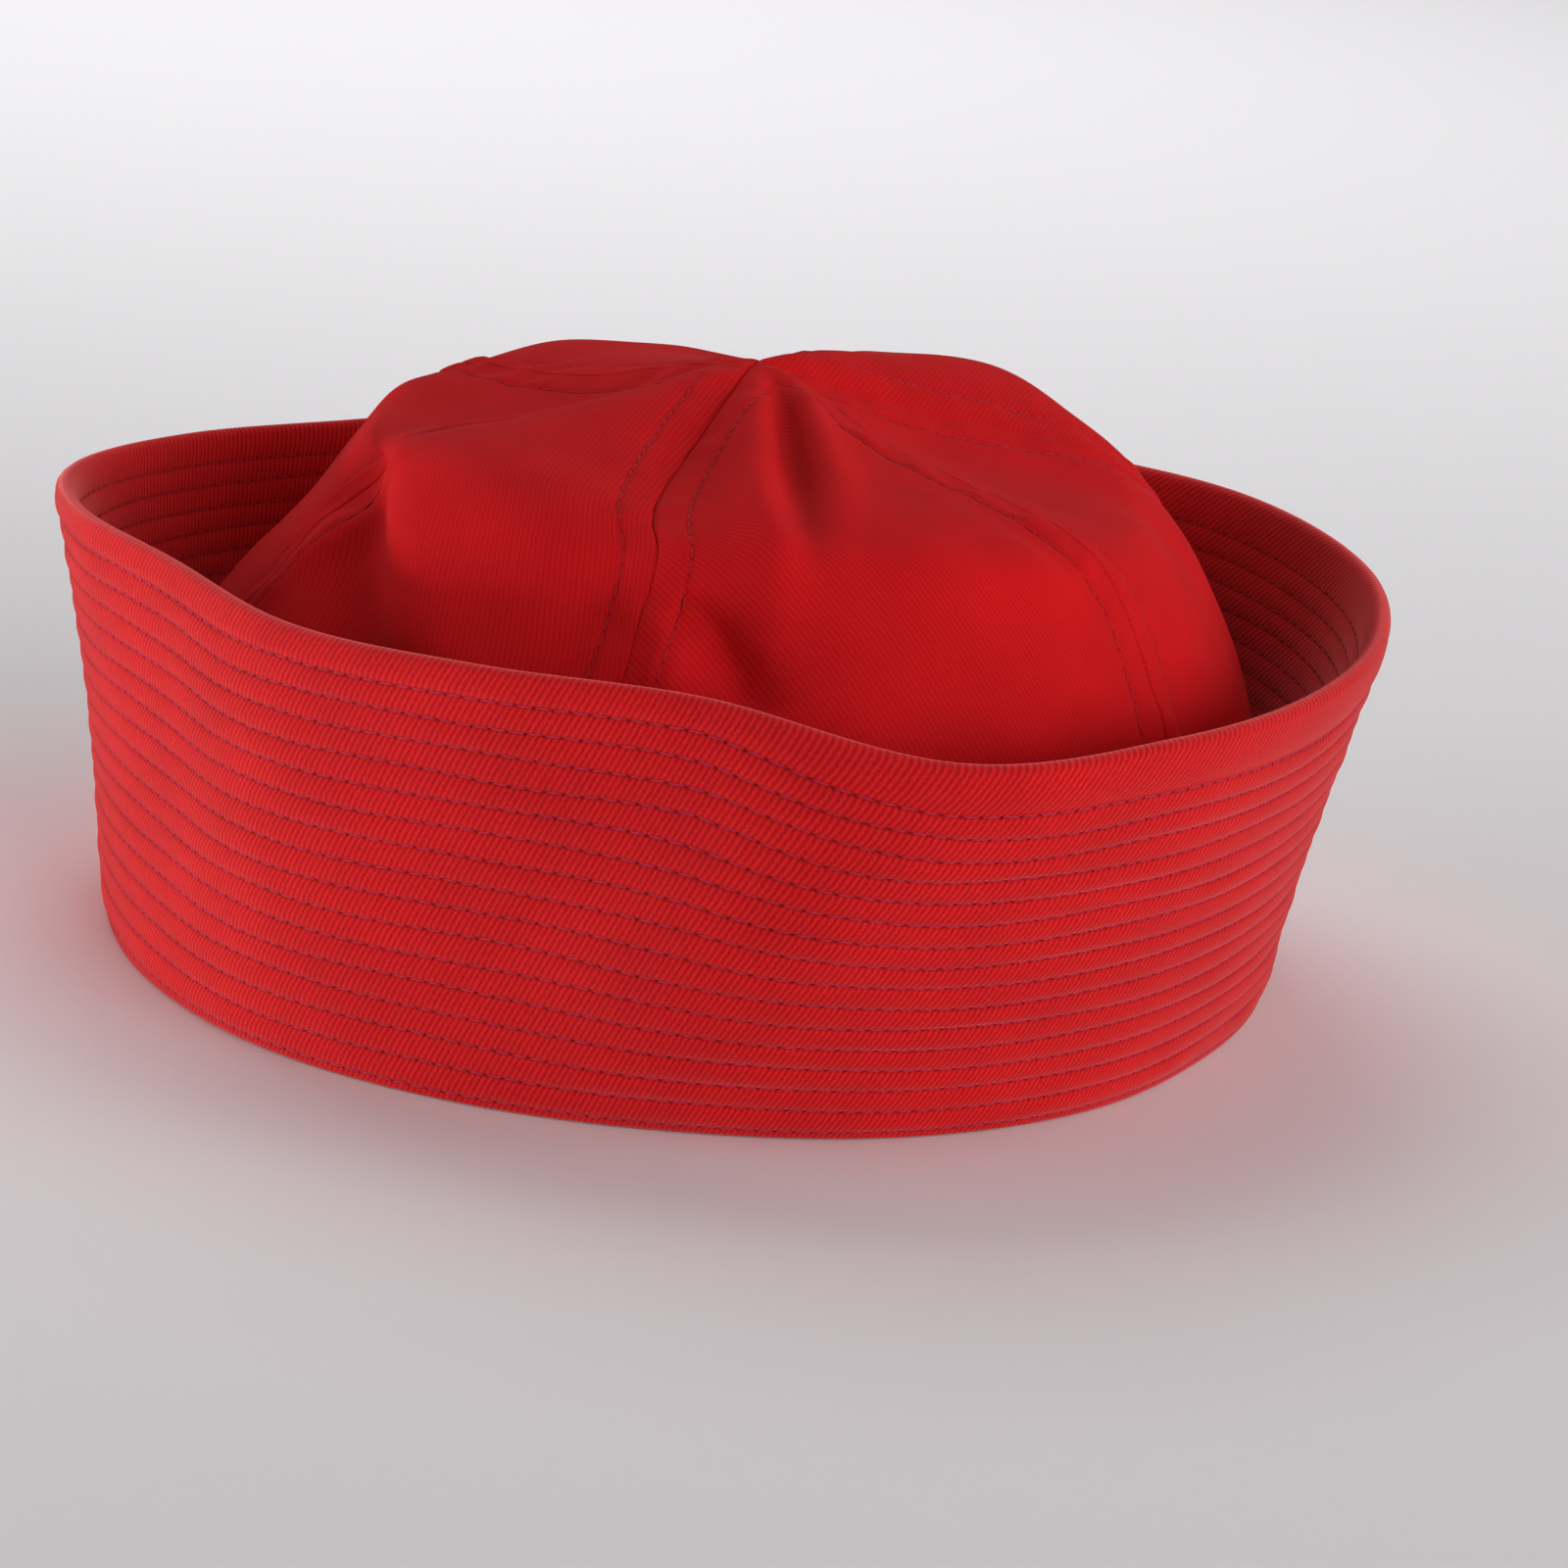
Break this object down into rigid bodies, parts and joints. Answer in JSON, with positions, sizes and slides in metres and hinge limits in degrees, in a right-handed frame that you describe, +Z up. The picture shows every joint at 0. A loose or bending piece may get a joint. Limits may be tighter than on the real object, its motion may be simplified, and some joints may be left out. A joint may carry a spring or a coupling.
{
  "type": "sailor cap",
  "caption": "Round cloth sailor cap: a low crown of sewn twill gores inside a stiff quilted brim that is turned up all round.",
  "frame": {"origin": "middle of the whole cap's box in plan, on the surface that it stands on, under the brim's bottom fold", "axes": "+Z up out of the crown's top, -Y towards the front of the cap, +Y towards its back, +X towards the wearer's left"},
  "size_m": [0.207, 0.2168, 0.0945],
  "materials": {
    "brim_twill": "matt red cotton twill, quilted with rows of red topstitching",
    "crown_twill": "matt red cotton twill, creased, with topstitched seams"
  },
  "bodies": {
    "root": {"brim": "brim_twill", "crown_gore_1": "crown_twill", "crown_gore_2": "crown_twill", "crown_gore_3": "crown_twill", "crown_gore_4": "crown_twill", "crown_gore_5": "crown_twill", "crown_gore_6": "crown_twill"}
  },
  "joints": []
}
